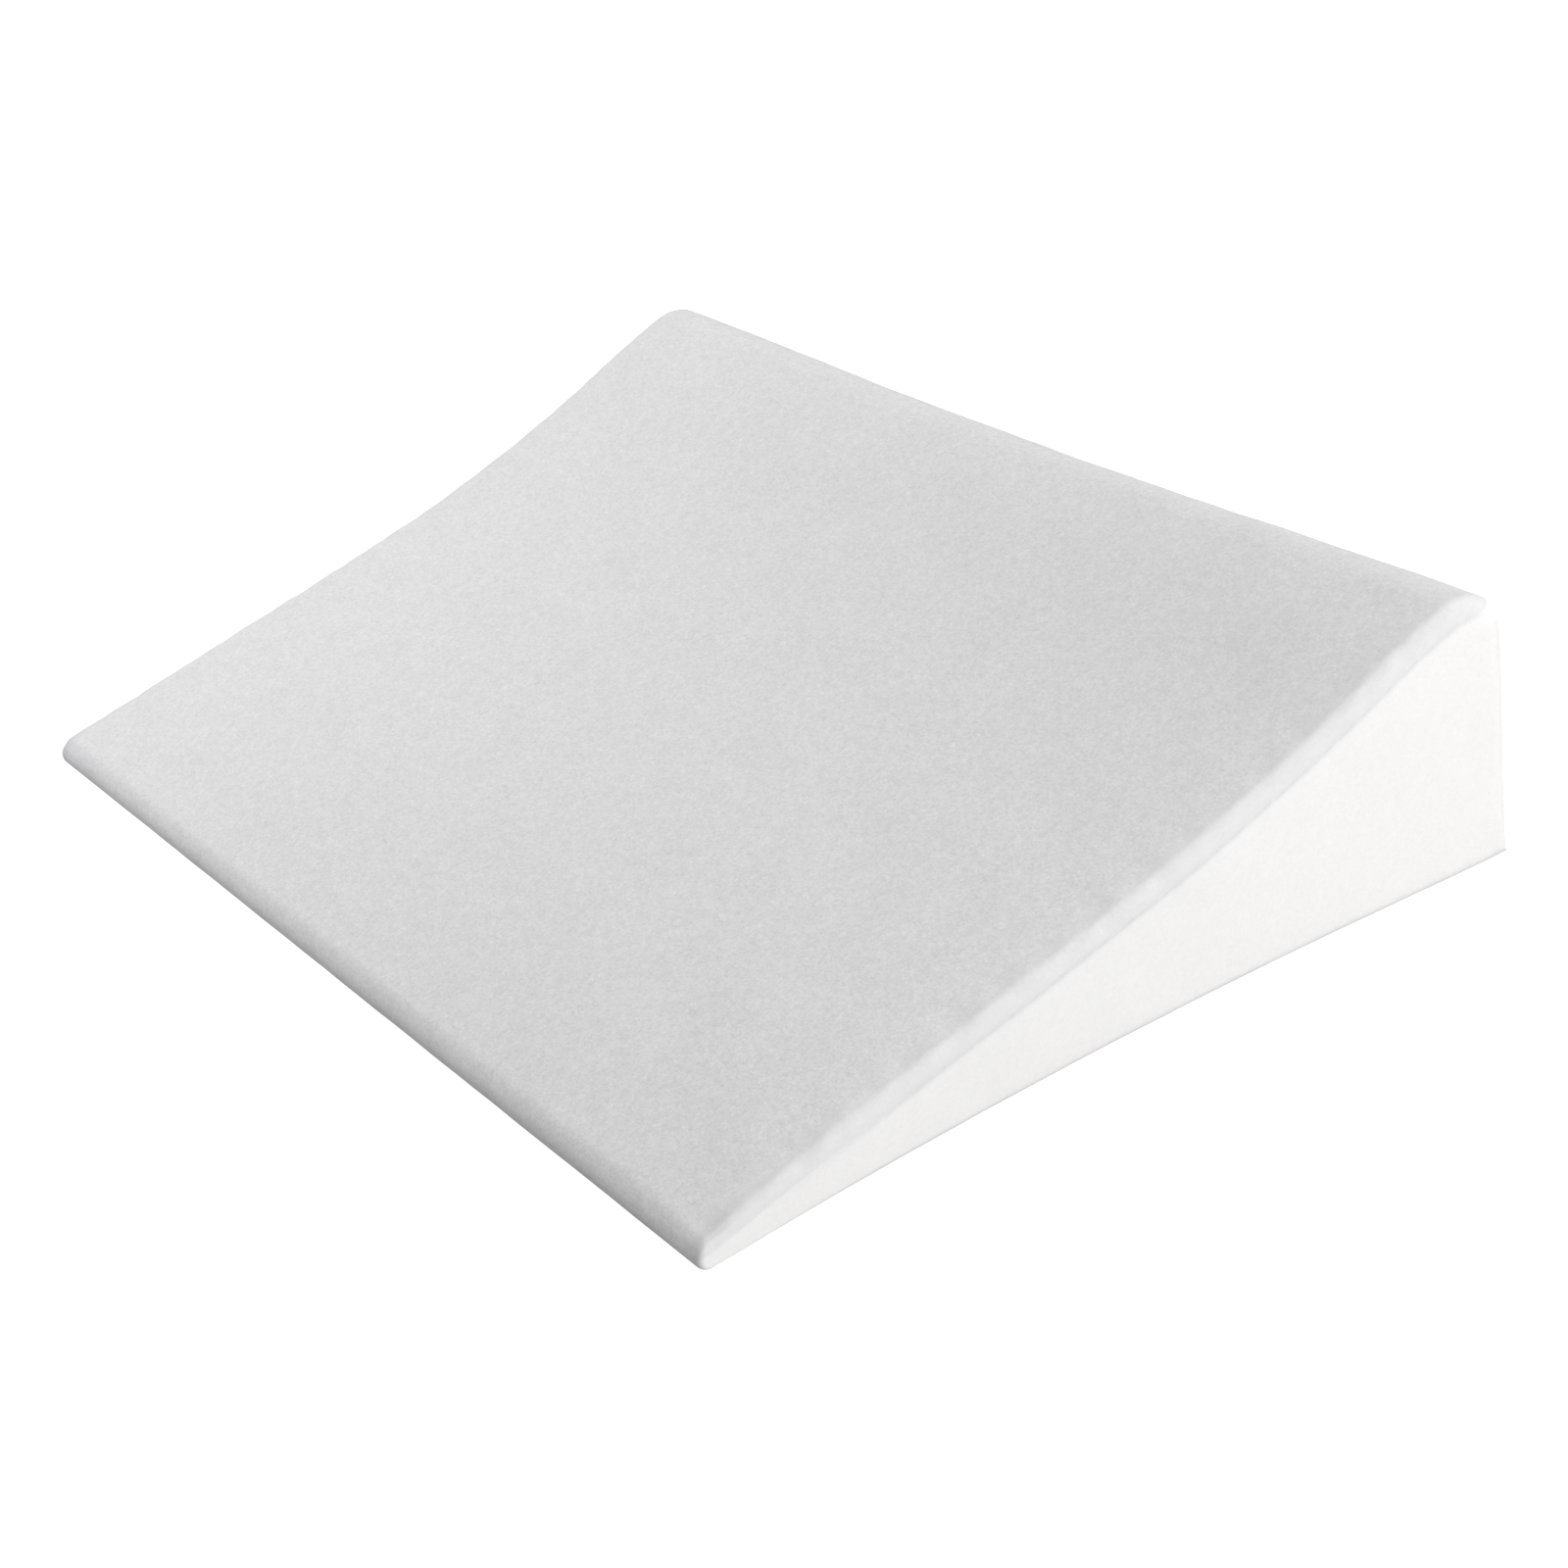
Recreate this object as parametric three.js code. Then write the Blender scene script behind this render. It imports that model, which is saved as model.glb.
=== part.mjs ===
// A wedge pillow: a foam wedge in a soft cloth cover, sewn closed, as one filled cushion.
// Millimetres. X runs along the width, Y from the thin edge to the thick one, Z up from the underside.
import * as THREE from "three";
import { mergeVertices } from "three/addons/utils/BufferGeometryUtils.js";

const width = 600;
const length = 416;

// Heights of the slope over the underside, before the edges are rounded
const slope = [
  { share: 0, height: 12.8 },
  { share: 0.15, height: 30.5 },
  { share: 0.3, height: 46 },
  { share: 0.45, height: 61 },
  { share: 0.6, height: 78 },
  { share: 0.75, height: 99 },
  { share: 0.88, height: 121 },
  { share: 1, height: 136 },
];

// Radii of the side edges: across the width, and in from the face that the side meets
const sideEdges = {
  top: { across: 5.5, inward: 12 },
  front: { across: 5, inward: 5 },
  back: { across: 6, inward: 8 },
  underside: { across: 5, inward: 4 },
};
const radiiBlend = 6;

// Radii of the edges that run across the width
const topToFront = 7;
const topToBack = 33;
const undersideToFront = 5.5;
const undersideToBack = 2.5;

// How the filled cover leaves the plain wedge: the right side keeps a straight top edge
const sideDrawIn = 8;
const sideBowPower = 3;
const backDrawIn = 3;
const backBowPower = 4;
const crestSag = 3;
const crestSagPower = 2;
const shoulderFall = 1.2;
const fullShoulderHeight = 40;

// The side panels are set in under the top panel's edge, and just inside the back edge
const seamDrop = 10;
const seamDropAtCrest = 5;
const seamCrestEase = 1.4;
const seamFromBack = 3;
const seamDepth = 1;
const seamWidth = 1.8;
const seamReach = 8;
const seamFadeLength = 60;

// Puckers along each shoulder, by their distance from the thin edge
const puckers = [
  { from: 8, depth: 1.0 },
  { from: 50, depth: 0.7 },
  { from: 84, depth: 0.4 },
  { from: 126, depth: 1.0 },
  { from: 151, depth: 0.3 },
  { from: 177, depth: 0.3 },
  { from: 200, depth: 0.6 },
  { from: 227, depth: 0.7 },
  { from: 284, depth: 0.4 },
  { from: 362, depth: 0.4 },
];
const puckerLength = 9;
const puckerReach = 20;
const farSideShift = 9;
const farSideShare = 0.4;

// Places of the grid lines: fine where an edge turns, even between
const acrossFromSide = [0, 1.2, 3, 5.5, 9, 15, 24, 38];
const acrossSteps = 12;
const alongFromFront = [0, 1, 2.5, 4.5, 7];
const alongFromBack = [33, 25, 18, 12.5, 8, 5, 3, 1.2, 0];
const alongSteps = 43;
const rowsOverUnderside = [0, 1, 2.8, 5.5];
const rowsUnderSeam = [27, 19, 11, 5, 2, 0];
const rowsOverSeam = [0.15, 0.4, 0.7, 1];
const rowSteps = 2;
const roomForRows = 34;

const slopeCurve = new THREE.CubicInterpolant(
  slope.map((row) => row.share),
  slope.map((row) => row.height),
  1,
);

function slopeHeight(y) {
  const share = THREE.MathUtils.clamp(y / length + 0.5, 0, 1);
  return slopeCurve.evaluate(share)[0];
}

// Even steps between two places, without the places themselves
function evenBetween(low, high, steps) {
  return Array.from({ length: steps - 1 }, (_, i) => THREE.MathUtils.lerp(low, high, (i + 1) / steps));
}

function acrossPlaces() {
  const right = acrossFromSide.map((inset) => width / 2 - inset);
  const left = right.map((x) => -x);
  const middle = evenBetween(left.at(-1), right.at(-1), acrossSteps);
  return [...left, ...middle, ...right.reverse()];
}

function alongPlaces() {
  const front = alongFromFront.map((inset) => -length / 2 + inset);
  const back = alongFromBack.map((inset) => length / 2 - inset);
  return [...front, ...evenBetween(front.at(-1), back[0], alongSteps), ...back];
}

// The strip over the seam is narrower where the wedge is thin, and where the top turns down over the crest
function seamHeight(y) {
  const height = slopeHeight(y);
  const drop = seamDrop * (1 - Math.exp(-height / seamDrop));
  const crestStart = length / 2 - topToBack;
  const overCrest = THREE.MathUtils.clamp((y - crestStart) / (topToBack - seamFromBack), 0, 1);
  return height - THREE.MathUtils.lerp(drop, seamDropAtCrest, overCrest ** seamCrestEase);
}

// How far a point of a side face is from the seam that bounds the side panel
function seamDistance(y, z) {
  const past = y + seamFromBack - length / 2;
  const over = z - seamHeight(y);
  if (past < 0 && over < 0) return Math.min(-past, -over);
  return Math.hypot(Math.max(past, 0), Math.max(over, 0));
}

function rowHeights(y) {
  const height = slopeHeight(y);
  const seam = seamHeight(y);
  const squeeze = Math.min(1, seam / roomForRows);
  const low = rowsOverUnderside.map((rise) => rise * squeeze);
  const high = rowsUnderSeam.map((drop) => seam - drop * squeeze);
  const wrapped = rowsOverSeam.map((share) => THREE.MathUtils.lerp(seam, height, share));
  return [...low, ...evenBetween(low.at(-1), high[0], rowSteps), ...high, ...wrapped];
}

// A bell of height 1 at 0, which fades over the given width
function bell(distance, fade) {
  return Math.exp(-((distance / fade) ** 2));
}

// Rounds the corner between two faces, and tells whether the point lies by it: square rings about the arc's
// centre become round ones, less the push
function roundEdge(depths, first, second, radius, push = 0) {
  const a = radius - depths[first];
  const b = radius - depths[second];
  if (a <= 0 || b <= 0) return false;
  const reach = Math.max(a, b) - push;
  const turn = (Math.PI / 4) * (b <= a ? b / a : 2 - a / b);
  depths[first] = radius - reach * Math.cos(turn);
  depths[second] = radius - reach * Math.sin(turn);
  return true;
}

// The radii of the side edge near a point: each face counts for more, the nearer it is
function sideRadii(depths, nearest, height) {
  const sum = { share: 0, across: 0, inward: 0 };
  for (const [face, radii] of Object.entries(sideEdges)) {
    const share = Math.exp((nearest - depths[face]) / radiiBlend);
    sum.share += share;
    sum.across += share * radii.across;
    sum.inward += share * radii.inward;
  }
  const thinness = Math.min(1, height / (2 * (sideEdges.top.inward + sideEdges.underside.inward)));
  return { across: (sum.across / sum.share) * Math.sqrt(thinness), inward: (sum.inward / sum.share) * thinness };
}

// Rounds a side edge as an ellipse, then the corners of the outline; the side edge's push goes the same way in
function roundAllEdges(depths, height) {
  const faces = Object.keys(sideEdges);
  const nearest = Math.min(...faces.map((face) => depths[face]));
  const nearestFaces = faces.filter((face) => depths[face] === nearest);
  const radii = sideRadii(depths, nearest, height);
  const stretch = radii.inward / radii.across;
  const edge = { side: depths.side * stretch, inward: nearest };
  roundEdge(edge, "side", "inward", radii.inward);
  depths.side = edge.side / stretch;
  const push = edge.inward - nearest;
  const turned = [
    roundEdge(depths, "top", "front", topToFront, push),
    roundEdge(depths, "top", "back", topToBack, push),
    roundEdge(depths, "underside", "front", undersideToFront, push),
    roundEdge(depths, "underside", "back", undersideToBack, push),
  ];
  if (turned.includes(true)) return;
  for (const face of nearestFaces) depths[face] += push;
}

function puckerAt(y, side) {
  const from = y + length / 2 + (side < 0 ? farSideShift : 0);
  const strength = side < 0 ? farSideShare : 1;
  return puckers.reduce((sum, fold) => sum + strength * fold.depth * bell(from - fold.from, puckerLength), 0);
}

// Carries a point of the sharp wedge to the filled cushion
function cushionPoint(x, y, z) {
  const height = slopeHeight(y);
  const side = Math.sign(x);
  const rise = z / height;
  const depths = {
    side: width / 2 - Math.abs(x),
    front: y + length / 2,
    back: length / 2 - y,
    top: height - z,
    underside: z,
  };
  const nearSide = bell(depths.side, puckerReach);
  const seamFade = Math.min(1, depths.front / seamFadeLength);
  roundAllEdges(depths, height);

  const share = (depths.front + length - depths.back) / (2 * length);
  const acrossBow = Math.cos((Math.PI * x) / width);
  const drawIn = sideDrawIn * (side > 0 ? 1 - rise : 1);
  const shoulder = (shoulderFall + puckerAt(y, side)) * nearSide * Math.min(1, height / fullShoulderHeight);
  depths.side += seamDepth * seamFade * bell(seamDistance(y, z), seamWidth) * bell(depths.side, seamReach);
  depths.side += drawIn * Math.sin(Math.PI * share) * Math.abs((2 * x) / width) ** sideBowPower;
  depths.back += backDrawIn * acrossBow * share ** backBowPower;
  depths.top += crestSag * acrossBow * rise * share ** crestSagPower;
  depths.top += shoulder * rise;

  const newX = side * (width / 2 - depths.side);
  const newY = THREE.MathUtils.lerp(depths.front - length / 2, length / 2 - depths.back, share);
  const newZ = THREE.MathUtils.lerp(depths.underside, slopeHeight(newY) - depths.top, rise);
  return new THREE.Vector3(newX, newY, newZ);
}

// A box whose grid lines lie at the named places, closed all round, then carried to the cushion
function cushionGeometry() {
  const across = acrossPlaces();
  const along = alongPlaces();
  const rowCount = rowHeights(0).length;
  const box = new THREE.BoxGeometry(1, 1, 1, across.length - 1, along.length - 1, rowCount - 1);
  box.deleteAttribute("normal");
  box.deleteAttribute("uv");
  const geometry = mergeVertices(box);
  const points = geometry.getAttribute("position");
  for (let i = 0; i < points.count; i++) {
    const column = Math.round((points.getX(i) + 0.5) * (across.length - 1));
    const station = Math.round((points.getY(i) + 0.5) * (along.length - 1));
    const row = Math.round((points.getZ(i) + 0.5) * (rowCount - 1));
    const y = along[station];
    const z = rowHeights(y)[row];
    const place = cushionPoint(across[column], y, z);
    points.setXYZ(i, place.x, place.y, place.z);
  }
  geometry.computeVertexNormals();
  return geometry;
}

const whiteFleece = new THREE.MeshStandardMaterial({ color: 0xeceae8, roughness: 0.95, metalness: 0 });

const pillow = new THREE.Mesh(cushionGeometry(), whiteFleece);
pillow.name = "wedge_pillow";

const part = new THREE.Group();
part.add(pillow);

export default part;
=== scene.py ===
import math
import bpy
import numpy as np
from mathutils import Matrix, Vector


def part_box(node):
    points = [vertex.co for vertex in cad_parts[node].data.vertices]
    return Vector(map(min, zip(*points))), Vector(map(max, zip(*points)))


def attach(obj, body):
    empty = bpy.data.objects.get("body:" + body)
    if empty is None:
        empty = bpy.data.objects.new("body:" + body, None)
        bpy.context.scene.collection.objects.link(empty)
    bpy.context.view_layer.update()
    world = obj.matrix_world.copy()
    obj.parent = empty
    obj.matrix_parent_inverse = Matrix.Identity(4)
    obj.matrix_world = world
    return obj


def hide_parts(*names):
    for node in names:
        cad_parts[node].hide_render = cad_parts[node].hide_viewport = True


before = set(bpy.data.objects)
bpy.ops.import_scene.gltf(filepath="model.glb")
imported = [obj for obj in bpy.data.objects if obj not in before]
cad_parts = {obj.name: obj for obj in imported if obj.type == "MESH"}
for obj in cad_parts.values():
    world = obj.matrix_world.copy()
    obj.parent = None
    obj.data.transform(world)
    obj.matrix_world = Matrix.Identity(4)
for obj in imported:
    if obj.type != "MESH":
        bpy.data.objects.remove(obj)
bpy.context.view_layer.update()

nodeLow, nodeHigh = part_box("wedge_pillow")
print("frame loaded")

# Where the camera stands, seen from the middle of the underside; degrees, metres and millimetres of lens
camera = {
    "azimuth": 59.12,
    "elevation": 27.29,
    "roll": -8.41,
    "distance": 1.4234,
    "right": 0.0300,
    "up": 0.0098,
    "lens": 69.81,
}


def addCamera(settings):
    # Looks back along a unit vector of the given azimuth and elevation, then rolls about it
    azimuth, elevation, roll = (math.radians(settings[key]) for key in ("azimuth", "elevation", "roll"))
    level = math.cos(elevation)
    back = Vector((math.sin(azimuth) * level, -math.cos(azimuth) * level, math.sin(elevation)))
    right = Vector((0, 0, 1)).cross(back).normalized()
    up = back.cross(right)
    turned = right * math.cos(roll) + up * math.sin(roll)
    upright = up * math.cos(roll) - right * math.sin(roll)
    place = back * settings["distance"] + turned * settings["right"] + upright * settings["up"]
    data = bpy.data.cameras.new("camera")
    data.lens = settings["lens"]
    data.clip_start, data.clip_end = 0.01, 100
    obj = bpy.data.objects.new("camera", data)
    axes = Matrix((turned, upright, back)).transposed().to_4x4()
    obj.matrix_world = Matrix.Translation(place) @ axes
    bpy.context.scene.collection.objects.link(obj)
    bpy.context.scene.camera = obj


addCamera(camera)
print("camera set")

# The filled cover, in metres: Y runs from the thin edge to the thick one
cushion = {
    "width": nodeHigh.x - nodeLow.x,
    "length": nodeHigh.y - nodeLow.y,
    # share of the length: height of the slope before its edges are rounded
    "slope": {
        0: 0.0128, 0.15: 0.0305, 0.3: 0.046, 0.45: 0.061,
        0.6: 0.078, 0.75: 0.099, 0.88: 0.121, 1: 0.136,
    },
    # radii of the side edges, across the width and in from the face that the side meets
    "sideEdges": {
        "top": (0.0055, 0.012), "front": (0.005, 0.005),
        "back": (0.006, 0.008), "under": (0.005, 0.004),
    },
    "radiiBlend": 0.006,         # over this length one pair of radii turns into the next
    "topToFront": 0.0070,        # radii of the edges that run across
    "topToBack": 0.033,
    "undersideToFront": 0.0055,
    "undersideToBack": 0.0025,
    "sideDrawIn": 0.008,         # how far the sides pull in; the right one's top edge stays straight
    "sideBowPower": 3,
    "backDrawIn": 0.0030,
    "backBowPower": 4,
    "crestSag": 0.003,
    "crestSagPower": 2,
    "shoulderFall": 0.0012,
    "shoulderReach": 0.022,
    "fullShoulderHeight": 0.04,  # where the wedge is thinner, the shoulders fall less
}

# The seam that sets each side panel in
seam = {
    "drop": 0.0100,              # under the sharp top edge
    "dropAtCrest": 0.005,        # less where the crest turns down, and sooner the lower the ease
    "crestEase": 1.4,
    "fromBack": 0.003,
    "overUnderside": 0.0024,     # less where the wedge is thinner than the next value
    "fullHeight": 0.03,
    "depth": 0.0004,
    "width": 0.0018,
    "reach": 0.003,              # how far in from the side face the groove goes
    "backShare": 0.35,           # the seams along the back edge and the underside lie shallower
    "undersideShare": 0.5,
    "frontFade": (0.030, 0.110),  # from the thin edge: not seen up to here, in full from there
    "crestFade": 0.014,          # it fades out over this length before the back face
    "backFade": (0.002, 0.02),   # the back edge's seam: from the slope down, as the front fade
    "beat": (0.0085, 0.031),     # the depth swells and sinks along the seam with these two lengths,
    "beatShare": 0.25,           # by this share of it
}

# Puckers on the shoulder
puckers = {
    # distance from the thin edge, depth, half length along the edge, reach up the slope
    "folds": (
        (0.008, 0.0013, 0.007, 0.014),
        (0.031, 0.0002, 0.005, 0.010),
        (0.050, 0.0007, 0.007, 0.018),
        (0.084, 0.0003, 0.006, 0.016),
        (0.099, 0.0003, 0.006, 0.012),
        (0.126, 0.0010, 0.007, 0.020),
        (0.151, 0.0003, 0.005, 0.024),
        (0.177, 0.0003, 0.007, 0.016),
        (0.200, 0.0006, 0.006, 0.024),
        (0.227, 0.0007, 0.007, 0.026),
        (0.244, 0.0003, 0.006, 0.022),
        (0.284, 0.0004, 0.009, 0.020),
        (0.337, 0.0002, 0.010, 0.022),
        (0.362, 0.0004, 0.008, 0.016),
    ),
    "overSeam": 0.0100,          # deepest this far over the seam, at the turn of the shoulder
    "downReach": 0.006,
    "riseFade": (0.5, 0.75),     # none up to the first share of the height, all of it from the second
    "farSideShift": 0.009,
    "farSideShare": 0.4,
}

# Cells of the lattice, the shares by which its lines crowd towards the edges, and the simulated copy's cells
lattice = {
    "across": 150, "along": 190, "panelRows": 36, "wrapRows": 18,
    "crowding": 0.7, "wrapCrowding": 0.4,
}
simLattice = {
    "across": 90, "along": 84, "panelRows": 12, "wrapRows": 4,
    "crowding": 0.6, "wrapCrowding": 0.0,
}

# The simulation that fills the cover: it is loose along the shoulders, where it gathers into fine puckers
filling = {
    "inset": 0.0008,             # the cover starts this much smaller
    "pressure": 4.0,
    "frames": 10,
    "quality": 5,
    "mass": 0.3,
    "tension": 15,
    "shear": 5,
    "bending": 0.5,
    "hold": 0.3,                 # how firmly the cloth keeps to the cushion, and how firmly on the stitches
    "stitchHold": 0.6,
    "stitchBand": (0.004, 0.003),  # half widths of the stitches' band, down the side and in across
    "looseness": 0.04,           # how much longer the loose cloth is
    "looseFrom": 0.010,          # the loose strip: its middle over the seam, and its half width
    "looseHalf": 0.012,
    "looseReach": 0.048,
    "lowFade": (0.002, 0.008),   # no gathering down at the underside, nor at the ends of a shoulder:
    "endFade": (0.012, 0.050),   # none up to here, all of it from there
    "swellCap": 0.0007,
    "sinkCap": 0.0011,
    "share": 0.2,                # how much of the swell the finished cover takes over
}

# The seeded waves of the cloth's slight unevenness: count, shortest and longest length, height
unevenness = {"seed": 7, "waves": 60, "shortest": 0.022, "longest": 0.110, "height": 0.00028}

# Over this height above the underside all relief fades out
flatBand = 0.006

# Where the top panel's cloth shows its nap, and where shade is painted into its colour: in the seam's crease
# and on a strip over the shoulder; distances past the seam
napAndPaintedShade = {
    "napFade": (0.006, 0.026),
    "shoulderShadeStart": 0.002,
    "shoulderShadeEnd": (0.010, 0.017),
    "creaseShadeShare": 0.75,
    "shoulderShadeShare": 0.55,
}


def crowded(cells, crowding):
    # Places from 0 to 1 that crowd towards both ends: an even step blended with a half sine
    even = np.linspace(-1, 1, cells + 1)
    return 0.5 + 0.5 * ((1 - crowding) * even + crowding * np.sin(np.pi / 2 * even))


def bell(distance, fade):
    # 1 at no distance, which falls away as a Gaussian
    return np.exp(-(distance / fade) ** 2)


def smoothStep(low, high, at):
    # 0 up to low, 1 from high on, and a cubic between
    t = np.clip((at - low) / (high - low), 0, 1)
    return t * t * (3 - 2 * t)


def smoothCurve(rows, at):
    # A cubic between each two rows of a table, which leaves both with the table's own slope there
    shares, heights = np.array(list(rows.keys()), float), np.array(list(rows.values()), float)
    slopes = np.gradient(heights, shares, edge_order=2)
    i = np.clip(np.searchsorted(shares, at, side="right") - 1, 0, len(shares) - 2)
    gap = shares[i + 1] - shares[i]
    t = np.clip((at - shares[i]) / gap, 0, 1)
    ends = heights[i] * (1 + 2 * t) * (1 - t) ** 2 + heights[i + 1] * t ** 2 * (3 - 2 * t)
    return ends + gap * (slopes[i] * t * (1 - t) ** 2 - slopes[i + 1] * t ** 2 * (1 - t))


def slopeHeight(y):
    return smoothCurve(cushion["slope"], np.clip(y / cushion["length"] + 0.5, 0, 1))


def seamHeight(y):
    # A set drop below the slope, less where the wedge is thin and where the top turns over the crest
    height = slopeHeight(y)
    drop = seam["drop"] * (1 - np.exp(-height / seam["drop"]))
    crestStart = cushion["length"] / 2 - cushion["topToBack"]
    over = np.clip((y - crestStart) / (cushion["topToBack"] - seam["fromBack"]), 0, 1)
    return height - drop + (drop - seam["dropAtCrest"]) * over ** seam["crestEase"]


def roundEdge(first, second, radius, push=0):
    # Square rings about the arc's centre become round ones: the same reach less the push, at 45 degrees
    # times the ratio of the two sides; also says which points lie inside the arc's square
    a, b = radius - first, radius - second
    inside = (a > 0) & (b > 0)
    a, b = np.where(inside, a, 1), np.where(inside, b, 1)
    reach = np.maximum(a, b) - push
    turn = np.pi / 4 * np.where(b <= a, b / a, 2 - a / b)
    newFirst = np.where(inside, radius - reach * np.cos(turn), first)
    return newFirst, np.where(inside, radius - reach * np.sin(turn), second), inside


def cushionPoints(x, y, z):
    # A sharp wedge's points, each held as its depths behind the faces: the outline's corners turn into arcs,
    # and at the side edges an ellipse takes each point in from its nearest face; then the sides, the back
    # and the crest draw in by sines and powers of the place across and along
    width, length = cushion["width"], cushion["length"]
    height = slopeHeight(y)
    rise = z / height
    side = width / 2 - np.abs(x)
    depths = {"top": height - z, "front": y + length / 2, "back": length / 2 - y, "under": z}
    nearest = np.minimum.reduce(list(depths.values()))
    edges = cushion["sideEdges"]
    thinness = np.minimum(1, height / (2 * (edges["top"][1] + edges["under"][1])))
    shares = {face: np.exp((nearest - depth) / cushion["radiiBlend"]) for face, depth in depths.items()}
    total = sum(shares.values())
    across = sum(shares[face] * edges[face][0] for face in edges) / total * np.sqrt(thinness)
    inward = sum(shares[face] * edges[face][1] for face in edges) / total * thinness
    stretched, deeper, _ = roundEdge(side * inward / across, nearest, inward)
    nearSide = bell(side, cushion["shoulderReach"])
    side, push = stretched * across / inward, deeper - nearest

    turned = np.zeros(np.shape(side), bool)
    corners = (("top", "front", "topToFront"), ("top", "back", "topToBack"),
               ("under", "front", "undersideToFront"), ("under", "back", "undersideToBack"))
    sharp = dict(depths)
    for first, second, edge in corners:
        pair = roundEdge(depths[first], depths[second], cushion[edge], push)
        depths[first], depths[second], inside = pair
        turned |= inside
    for face in depths:
        depths[face] = depths[face] + push * (~turned & (sharp[face] == nearest))
    top, front, back, under = depths.values()

    share = (front + length - back) / (2 * length)
    acrossBow = np.cos(np.pi * x / width)
    drawIn = cushion["sideDrawIn"] * (1 - rise * (x > 0))
    side = side + drawIn * np.sin(np.pi * share) * np.abs(2 * x / width) ** cushion["sideBowPower"]
    back = back + cushion["backDrawIn"] * acrossBow * share ** cushion["backBowPower"]
    top = top + cushion["crestSag"] * acrossBow * rise * share ** cushion["crestSagPower"]
    thickness = np.minimum(1, height / cushion["fullShoulderHeight"])
    top = top + cushion["shoulderFall"] * nearSide * rise * thickness
    newY = (1 - share) * (front - length / 2) + share * (length / 2 - back)
    newZ = (1 - rise) * under + rise * (slopeHeight(newY) - top)
    return np.stack((np.sign(x) * (width / 2 - side), newY, newZ), -1)


def boxSheets(cells):
    # The lattice places on the six sides of a box, each a grid of (i, j, k) whose quads face outwards
    x, y, z = (np.arange(count + 1) for count in cells)
    pairs = (
        (x[:, None], y[None, :], cells[2], (0, 1)), (x[None, :], y[:, None], 0, (1, 0)),
        (cells[0], y[:, None], z[None, :], (1, 2)), (0, y[None, :], z[:, None], (2, 1)),
        (x[None, :], cells[1], z[:, None], (2, 0)), (x[:, None], 0, z[None, :], (0, 2)),
    )
    return [(np.stack(np.broadcast_arrays(i, j, k), -1), axes) for i, j, k, axes in pairs]


def latticeOf(settings):
    # The sharp wedge's place for each lattice point of its six sides, the shared numbering, and the quads
    cells = (settings["across"], settings["along"], settings["panelRows"] + settings["wrapRows"])
    across = (crowded(cells[0], settings["crowding"]) - 0.5) * cushion["width"]
    along = (crowded(cells[1], settings["crowding"]) - 0.5) * cushion["length"]
    seamRow, topRow = seamHeight(along)[:, None], slopeHeight(along)[:, None]
    panel = seamRow * crowded(settings["panelRows"], settings["crowding"])
    wrap = seamRow + (topRow - seamRow) * crowded(settings["wrapRows"], settings["wrapCrowding"])
    rows = np.concatenate((panel, wrap[:, 1:]), 1)
    sheets = boxSheets(cells)
    keys = [(g[..., 0] * (cells[1] + 1) + g[..., 1]) * (cells[2] + 1) + g[..., 2] for g, axes in sheets]
    unique, numbers = np.unique(np.concatenate([key.ravel() for key in keys]), return_inverse=True)
    numbers = np.split(numbers, np.cumsum([key.size for key in keys])[:-1])
    numbers = [number.reshape(key.shape) for number, key in zip(numbers, keys)]
    quads = [np.stack((n[:-1, :-1], n[1:, :-1], n[1:, 1:], n[:-1, 1:]), -1).reshape(-1, 4) for n in numbers]
    i, rest = np.divmod(unique, (cells[1] + 1) * (cells[2] + 1))
    j, k = np.divmod(rest, cells[2] + 1)
    return {
        "places": (across[i], along[j], rows[j, k]),
        "lines": (across / cushion["width"] + 0.5, along / cushion["length"] + 0.5),
        "settings": settings,
        "sheets": [(number, axes) for number, (grid, axes) in zip(numbers, sheets)],
        "quads": np.concatenate(quads),
    }


def meshOf(name, points, quads):
    mesh = bpy.data.meshes.new(name)
    mesh.vertices.add(len(points))
    mesh.vertices.foreach_set("co", np.ravel(points).astype(np.float32))
    mesh.loops.add(quads.size)
    mesh.loops.foreach_set("vertex_index", np.ravel(quads).astype(np.int32))
    mesh.polygons.add(len(quads))
    mesh.polygons.foreach_set("loop_start", np.arange(0, quads.size, 4, dtype=np.int32))
    mesh.update(calc_edges=True)
    mesh.validate()
    obj = bpy.data.objects.new(name, mesh)
    bpy.context.scene.collection.objects.link(obj)
    return obj


def vertexNormals(mesh):
    normals = np.empty(len(mesh.vertices) * 3, np.float32)
    mesh.vertex_normals.foreach_get("vector", normals)
    return normals.reshape(-1, 3).astype(float)


def sideDepths(x, y, z):
    # How far a point lies past the seam, up the side and then in over the shoulder, and how deep inside the
    # side panel, which is less than 0 outside it
    side = cushion["width"] / 2 - np.abs(x)
    past = y + seam["fromBack"] - cushion["length"] / 2
    over = z - seamHeight(y)
    under = seam["overUnderside"] * np.minimum(1, slopeHeight(y) / seam["fullHeight"]) - z
    out = np.maximum(np.maximum(past, over), under)
    far = np.hypot(np.maximum(past, 0), np.maximum(np.maximum(over, under), 0))
    return over + side, np.where(out < 0, -out, -far)


def addWeights(obj, name, weights):
    group = obj.vertex_groups.new(name=name)
    levels = np.round(weights, 2)
    for level in np.unique(levels[levels > 0]):
        group.add(np.flatnonzero(levels == level).tolist(), float(level), "REPLACE")


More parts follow.
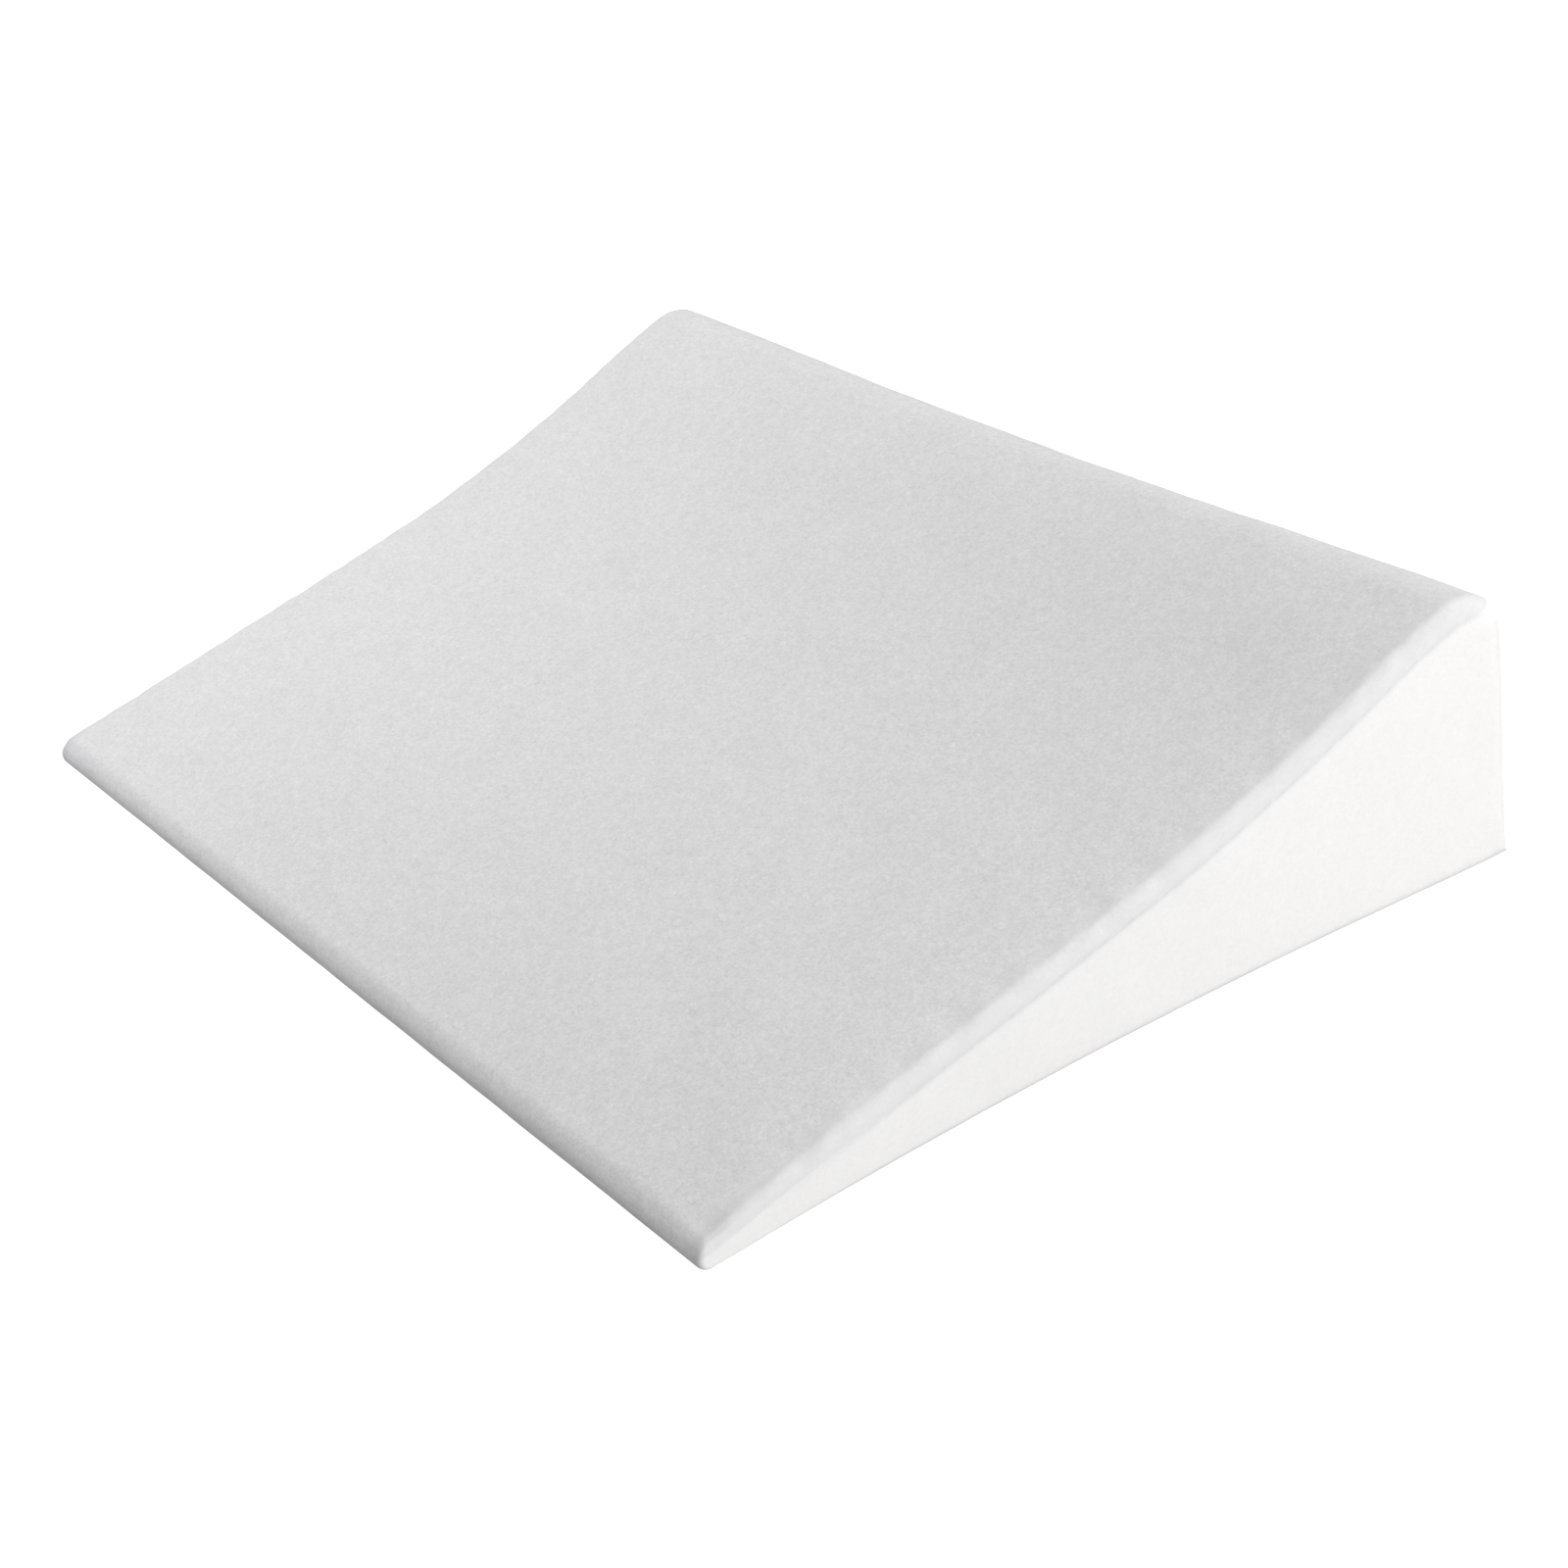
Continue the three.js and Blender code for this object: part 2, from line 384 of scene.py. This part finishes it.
def simulatedSwell(grid):
    # Fills a coarse copy with Cloth under pressure; returns how far each of its points moved, capped
    x, y, z = grid["places"]
    start = cushionPoints(x, y, z)
    obj = meshOf("coarseCover", start, grid["quads"])
    small = start + vertexNormals(obj.data) * (waveRelief(start) - filling["inset"])[:, None]
    obj.data.vertices.foreach_set("co", np.ravel(small).astype(np.float32))
    overSeam, panelDepth = sideDepths(x, y, z)
    side = cushion["width"] / 2 - np.abs(x)
    down, inwards = filling["stitchBand"]
    stitched = bell(panelDepth, down) * bell(side, inwards)
    flat = np.where(z < 1e-6, 1.0, 0.0)
    hold = filling["hold"] + (filling["stitchHold"] - filling["hold"]) * stitched
    addWeights(obj, "held", np.maximum(flat, hold))
    loose = bell(overSeam - filling["looseFrom"], filling["looseHalf"]) * (overSeam > 0) * (1 - stitched)
    loose *= smoothStep(*filling["lowFade"], z) * (side < filling["looseReach"])
    for fromEnd in (cushion["length"] / 2 - y, y + cushion["length"] / 2):
        loose *= smoothStep(*filling["endFade"], fromEnd)
    addWeights(obj, "tight", 1 - loose)
    cloth = obj.modifiers.new("cloth", "CLOTH")
    settings = cloth.settings
    settings.quality = filling["quality"]
    settings.mass = filling["mass"]
    settings.tension_stiffness = settings.compression_stiffness = filling["tension"]
    settings.shear_stiffness = filling["shear"]
    settings.bending_stiffness = filling["bending"]
    settings.use_pressure = True
    settings.uniform_pressure_force = filling["pressure"]
    settings.effector_weights.gravity = 0
    settings.vertex_group_mass = "held"
    settings.pin_stiffness = 1.0
    settings.vertex_group_shrink = "tight"
    settings.shrink_min, settings.shrink_max = -filling["looseness"], 0
    scene = bpy.context.scene
    scene.frame_start, scene.frame_end = 1, filling["frames"]
    cloth.point_cache.frame_start, cloth.point_cache.frame_end = 1, filling["frames"]
    for number in range(1, filling["frames"] + 1):
        scene.frame_set(number)
    filled = obj.evaluated_get(bpy.context.evaluated_depsgraph_get()).data
    end = np.empty(len(filled.vertices) * 3, np.float32)
    filled.vertices.foreach_get("co", end)
    moved = end.reshape(-1, 3) - small
    outwards = np.sum(moved * vertexNormals(obj.data), -1)
    capped = np.clip(outwards, -filling["sinkCap"], filling["swellCap"])
    print("swell, mm:", np.round(1000 * np.percentile(outwards, (1, 10, 50, 90, 99)), 2))
    swell = vertexNormals(obj.data) * (filling["share"] * capped * (1 - flat))[:, None]
    scene.frame_set(1)
    bpy.data.objects.remove(obj, do_unlink=True)
    return swell


def cubicWeights(coarse, fine):
    # Rows of Catmull-Rom weights that read a value on the fine lines from those on the coarse ones
    count = len(coarse) - 1
    i = np.clip(np.searchsorted(coarse, fine, side="right") - 1, 0, count - 1)
    t = np.clip((fine - coarse[i]) / (coarse[i + 1] - coarse[i]), 0, 1)
    parts = (
        (-1, -t / 2 + t ** 2 - t ** 3 / 2), (0, 1 - 2.5 * t ** 2 + 1.5 * t ** 3),
        (1, t / 2 + 2 * t ** 2 - 1.5 * t ** 3), (2, (t ** 3 - t ** 2) / 2),
    )
    weights = np.zeros((len(fine), count + 1))
    for shift, part in parts:
        np.add.at(weights, (np.arange(len(fine)), np.clip(i + shift, 0, count)), part)
    return weights


def carried(coarse, fine, values):
    # A coarse lattice's values on the fine one, sheet by sheet; rows under and over the seam keep apart
    def rowShares(settings):
        panel = crowded(settings["panelRows"], settings["crowding"])
        wrap = 1 + crowded(settings["wrapRows"], settings["wrapCrowding"])
        return np.concatenate((panel, wrap[1:]))
    lines = [
        (coarse["lines"][0], fine["lines"][0]), (coarse["lines"][1], fine["lines"][1]),
        (rowShares(coarse["settings"]), rowShares(fine["settings"])),
    ]
    weights = [cubicWeights(a, b) for a, b in lines]
    result = np.zeros((len(fine["places"][0]), 3))
    for (coarseNumbers, axes), (fineNumbers, _) in zip(coarse["sheets"], fine["sheets"]):
        down, across = (weights[axis] for axis in axes)
        result[fineNumbers] = np.einsum("ia,jb,abc->ijc", down, across, values[coarseNumbers], optimize=True)
    return result


def seamGroove(x, y, z):
    # A soft groove along the top, the back edge and the underside of each side panel, each a bell of the
    # distance from its line; the deepest of the three holds
    side = cushion["width"] / 2 - np.abs(x)
    fromFront, fromBack = y + cushion["length"] / 2, cushion["length"] / 2 - y
    over = z - seamHeight(y)
    short, long = (2 * np.pi / length for length in seam["beat"])
    beat = 1 + seam["beatShare"] * np.sin(short * y) * np.sin(long * y + 1)
    frontFade = smoothStep(*seam["frontFade"], fromFront)
    top = smoothStep(0, seam["crestFade"], fromBack) * frontFade * beat
    back = seam["backShare"] * smoothStep(*seam["backFade"], -over)
    under = seam["undersideShare"] * frontFade
    parts = ((over, top), (fromBack - seam["fromBack"], back), (z - seam["overUnderside"], under))
    groove = np.maximum.reduce([share * bell(far, seam["width"]) for far, share in parts])
    return groove * bell(side, seam["reach"])


def puckerRelief(x, y, z):
    # Dimples along the shoulder, each a bell along the edge, deepest at the turn and drawn out up the slope
    overSeam = sideDepths(x, y, z)[0]
    fromFront = y + cushion["length"] / 2 + np.where(x < 0, puckers["farSideShift"], 0)
    strength = np.where(x < 0, puckers["farSideShare"], 1)
    low, high = puckers["riseFade"]
    onTop = np.clip((z / slopeHeight(y) - low) / (high - low), 0, 1)
    relief = np.zeros_like(x)
    for start, depth, half, reach in puckers["folds"]:
        past = overSeam - puckers["overSeam"]
        across = np.where(past > 0, bell(past, reach), bell(past, puckers["downReach"]))
        relief -= depth * bell(fromFront - start, half) * across
    return relief * onTop * strength


def waveRelief(points):
    # A sum of plane waves of random direction, length and phase, the longer ones higher
    random = np.random.default_rng(unevenness["seed"])
    count = unevenness["waves"]
    length = unevenness["shortest"] * (unevenness["longest"] / unevenness["shortest"]) ** random.random(count)
    direction = random.normal(size=(count, 3))
    direction /= np.linalg.norm(direction, axis=1)[:, None]
    phase = random.random(count) * 2 * np.pi
    waves = np.sin(points @ (direction * (2 * np.pi / length)[:, None]).T + phase)
    heights = unevenness["height"] * np.sqrt(length / length.max()) / math.sqrt(count)
    return (waves * heights).sum(1)


def makeCushion():
    fine, coarse = latticeOf(lattice), latticeOf(simLattice)
    x, y, z = fine["places"]
    points = cushionPoints(x, y, z)
    points = points + carried(coarse, fine, simulatedSwell(coarse))
    obj = meshOf("fleeceCushion", points, fine["quads"])
    crease = seamGroove(x, y, z)
    relief = puckerRelief(x, y, z) + waveRelief(points) - seam["depth"] * crease
    relief *= np.clip(points[:, 2] / flatBand, 0, 1)
    points = points + vertexNormals(obj.data) * relief[:, None]
    points[:, 2] = np.maximum(points[:, 2], 0)
    obj.data.vertices.foreach_set("co", np.ravel(points).astype(np.float32))
    obj.data.update()
    over = np.maximum(z - seamHeight(y), 0)
    pastSeam = over + cushion["width"] / 2 - np.abs(x)
    nap = smoothStep(*napAndPaintedShade["napFade"], pastSeam)
    # Painted shade: a strip from the seam up over the shoulder's turn gets a darker colour in place of that
    # turn's shading
    shoulderShadeBand = smoothStep(0, napAndPaintedShade["shoulderShadeStart"], over) * (1 - smoothStep(*napAndPaintedShade["shoulderShadeEnd"], pastSeam))
    # Painted shade: the darker colour falls on the seam's crease, by its groove depth, and on that strip,
    # whichever is stronger
    paintedShade = np.maximum(napAndPaintedShade["creaseShadeShare"] * crease, napAndPaintedShade["shoulderShadeShare"] * shoulderShadeBand)
    for name, values in (("nap", nap), ("paintedShade", paintedShade)):
        attribute = obj.data.attributes.new(name, "FLOAT", "POINT")
        attribute.data.foreach_set("value", values.astype(np.float32))
    obj.data.shade_smooth()
    print("cushion:", len(fine["quads"]) * 2, "triangles")
    return obj


class Signal:
    # One output of a material's nodes; arithmetic on it adds Math nodes
    def __init__(self, nodes, socket):
        self.nodes = nodes
        self.socket = socket

    def math(self, operation, first, second):
        return self.nodes.add("ShaderNodeMath", {"operation": operation}, {0: first, 1: second})

    def __add__(self, other):
        return self.math("ADD", self, other)

    def __sub__(self, other):
        return self.math("SUBTRACT", self, other)

    def __rsub__(self, other):
        return self.math("SUBTRACT", other, self)

    def __mul__(self, other):
        return self.math("MULTIPLY", self, other)

    __radd__ = __add__
    __rmul__ = __mul__


class Nodes:
    # A new material's node tree
    def __init__(self, name):
        self.material = bpy.data.materials.new(name)
        self.material.use_nodes = True
        self.tree = self.material.node_tree
        self.tree.nodes.clear()

    def add(self, kind, settings=None, inputs=None, output=0):
        node = self.tree.nodes.new(kind)
        for key, value in (settings or {}).items():
            setattr(node, key, value)
        for key, value in (inputs or {}).items():
            if isinstance(value, Signal):
                self.tree.links.new(value.socket, node.inputs[key])
            else:
                node.inputs[key].default_value = value
        return Signal(self, node.outputs[output]) if node.outputs else node


# White brushed fleece: sizes of the noises in metres with their shares, the rest shares
fleece = {
    "light": (0.98, 0.975, 0.975, 1),
    "dark": (0.64, 0.635, 0.635, 1),
    "fibre": (0.0010, 0.40),
    "nap": (0.0020, 0.38),
    "tuft": (0.005, 0.16),
    "patch": (0.026, 0.06),
    "contrast": 1.7,
    "noiseRoughness": 0.6,
    "distortion": 0.6,
    "calmSide": 0.3,             # how much of the variation the side panels and the shoulders keep
    "paintedShade": (0.80, 0.81, 0.83, 1),  # times this where shade is painted, along the seam's crease and on the shoulder's strip
    "roughness": 0.95,
    "specular": 0.2,
    "sheen": 0.15,
    "sheenRoughness": 0.5,
    "bumpHeight": 0.00012,
}


def makeFleece():
    nodes = Nodes("whiteFleece")
    place = nodes.add("ShaderNodeTexCoord", output="Object")
    nap = nodes.add("ShaderNodeAttribute", {"attribute_name": "nap"}, output="Fac")
    variation = (nap * (1 - fleece["calmSide"]) + fleece["calmSide"]) * fleece["contrast"]

    def noise(key, detail):
        size, share = fleece[key]
        return share * nodes.add("ShaderNodeTexNoise", {}, {
            "Vector": place, "Scale": 1 / size, "Detail": detail,
            "Roughness": fleece["noiseRoughness"], "Distortion": fleece["distortion"],
        })

    cloth = noise("fibre", 2) + noise("nap", 2) + noise("tuft", 1) + noise("patch", 1)
    tone = (cloth - 0.5) * variation + 0.5
    colour = nodes.add("ShaderNodeMix", {"data_type": "RGBA"},
                       {"Factor": tone, "A": fleece["dark"], "B": fleece["light"]}, output="Result")
    # Painted shade: the colour is multiplied by a greyer tint along the seam's crease and over the shoulder
    # strip
    paintedShade = nodes.add("ShaderNodeAttribute", {"attribute_name": "paintedShade"}, output="Fac")
    colour = nodes.add("ShaderNodeMix", {"data_type": "RGBA", "blend_type": "MULTIPLY"},
                       {"Factor": paintedShade, "A": colour, "B": fleece["paintedShade"]}, output="Result")
    bump = nodes.add("ShaderNodeBump", {}, {
        "Height": cloth * variation, "Distance": fleece["bumpHeight"], "Strength": 1.0,
    })
    skin = nodes.add("ShaderNodeBsdfPrincipled", {}, {
        "Base Color": colour, "Roughness": fleece["roughness"], "Normal": bump,
        "Sheen Weight": fleece["sheen"], "Sheen Roughness": fleece["sheenRoughness"],
        "Specular IOR Level": fleece["specular"],
    })
    nodes.add("ShaderNodeOutputMaterial", {}, {"Surface": skin})
    return nodes.material


pillow = makeCushion()
pillow.data.materials.append(makeFleece())
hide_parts("wedge_pillow")
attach(pillow, "root")
print("fleece on the cushion")

# The studio: a dim floor and world that the camera sees white, a low light on the right, and fills from
# behind, the left and above
studio = {
    "floorSize": 80,
    "floorColour": (0.5, 0.5, 0.5, 1),
    "floorRoughness": 0.8,
    "floorSpecular": 0.1,
    "floorGlow": 1.0,
    "world": 0.25,
    "seenWorld": 1.0,
    # name: place, size, power and colour
    "lights": {
        "rightLow": ((2.4, 0.3, 0.45), 0.8, 29, (1, 1, 1)),
        "rightBack": ((1.6, 1.8, 1.0), 1.2, 20, (1, 0.98, 0.96)),
        "leftFill": ((-1.3, -0.5, 0.9), 0.8, 12.5, (0.96, 0.97, 1)),
        "above": ((0, 0, 2.6), 1.6, 17, (1, 0.995, 0.995)),
    },
}


def addArea(name, place, size, power, colour):
    data = bpy.data.lights.new(name, "AREA")
    data.shape = "DISK"
    data.size = size
    data.energy = power
    data.color = colour
    obj = bpy.data.objects.new(name, data)
    obj.location = place
    obj.rotation_mode = "QUATERNION"
    obj.rotation_quaternion = (-Vector(place)).to_track_quat("-Z", "Y")
    bpy.context.scene.collection.objects.link(obj)


def makeStudio():
    # The floor glows and the world brightens for the camera alone
    half = studio["floorSize"] / 2
    corners = np.array([(-half, -half, 0), (half, -half, 0), (half, half, 0), (-half, half, 0)], float)
    floor = meshOf("floor", corners, np.array([[0, 1, 2, 3]]))
    nodes = Nodes("paleFloor")
    seen = nodes.add("ShaderNodeLightPath", output="Is Camera Ray")
    glow = nodes.add("ShaderNodeMix", {"data_type": "RGBA"},
                     {"Factor": seen, "A": (0, 0, 0, 1), "B": (1, 1, 1, 1)}, output="Result")
    skin = nodes.add("ShaderNodeBsdfPrincipled", {}, {
        "Base Color": studio["floorColour"], "Roughness": studio["floorRoughness"],
        "Specular IOR Level": studio["floorSpecular"],
        "Emission Color": glow, "Emission Strength": studio["floorGlow"],
    })
    nodes.add("ShaderNodeOutputMaterial", {}, {"Surface": skin})
    floor.data.materials.append(nodes.material)
    world = bpy.data.worlds.new("studio")
    world.use_nodes = True
    background = world.node_tree.nodes["Background"]
    background.inputs["Color"].default_value = (1, 1, 1, 1)
    level = world.node_tree.nodes.new("ShaderNodeMapRange")
    level.inputs["To Min"].default_value = studio["world"]
    level.inputs["To Max"].default_value = studio["seenWorld"]
    path = world.node_tree.nodes.new("ShaderNodeLightPath")
    world.node_tree.links.new(path.outputs["Is Camera Ray"], level.inputs["Value"])
    world.node_tree.links.new(level.outputs["Result"], background.inputs["Strength"])
    bpy.context.scene.world = world
    for name, (place, size, power, colour) in studio["lights"].items():
        addArea(name, place, size, power, colour)
    bpy.context.scene.view_settings.view_transform = "Standard"


makeStudio()
print("studio set")
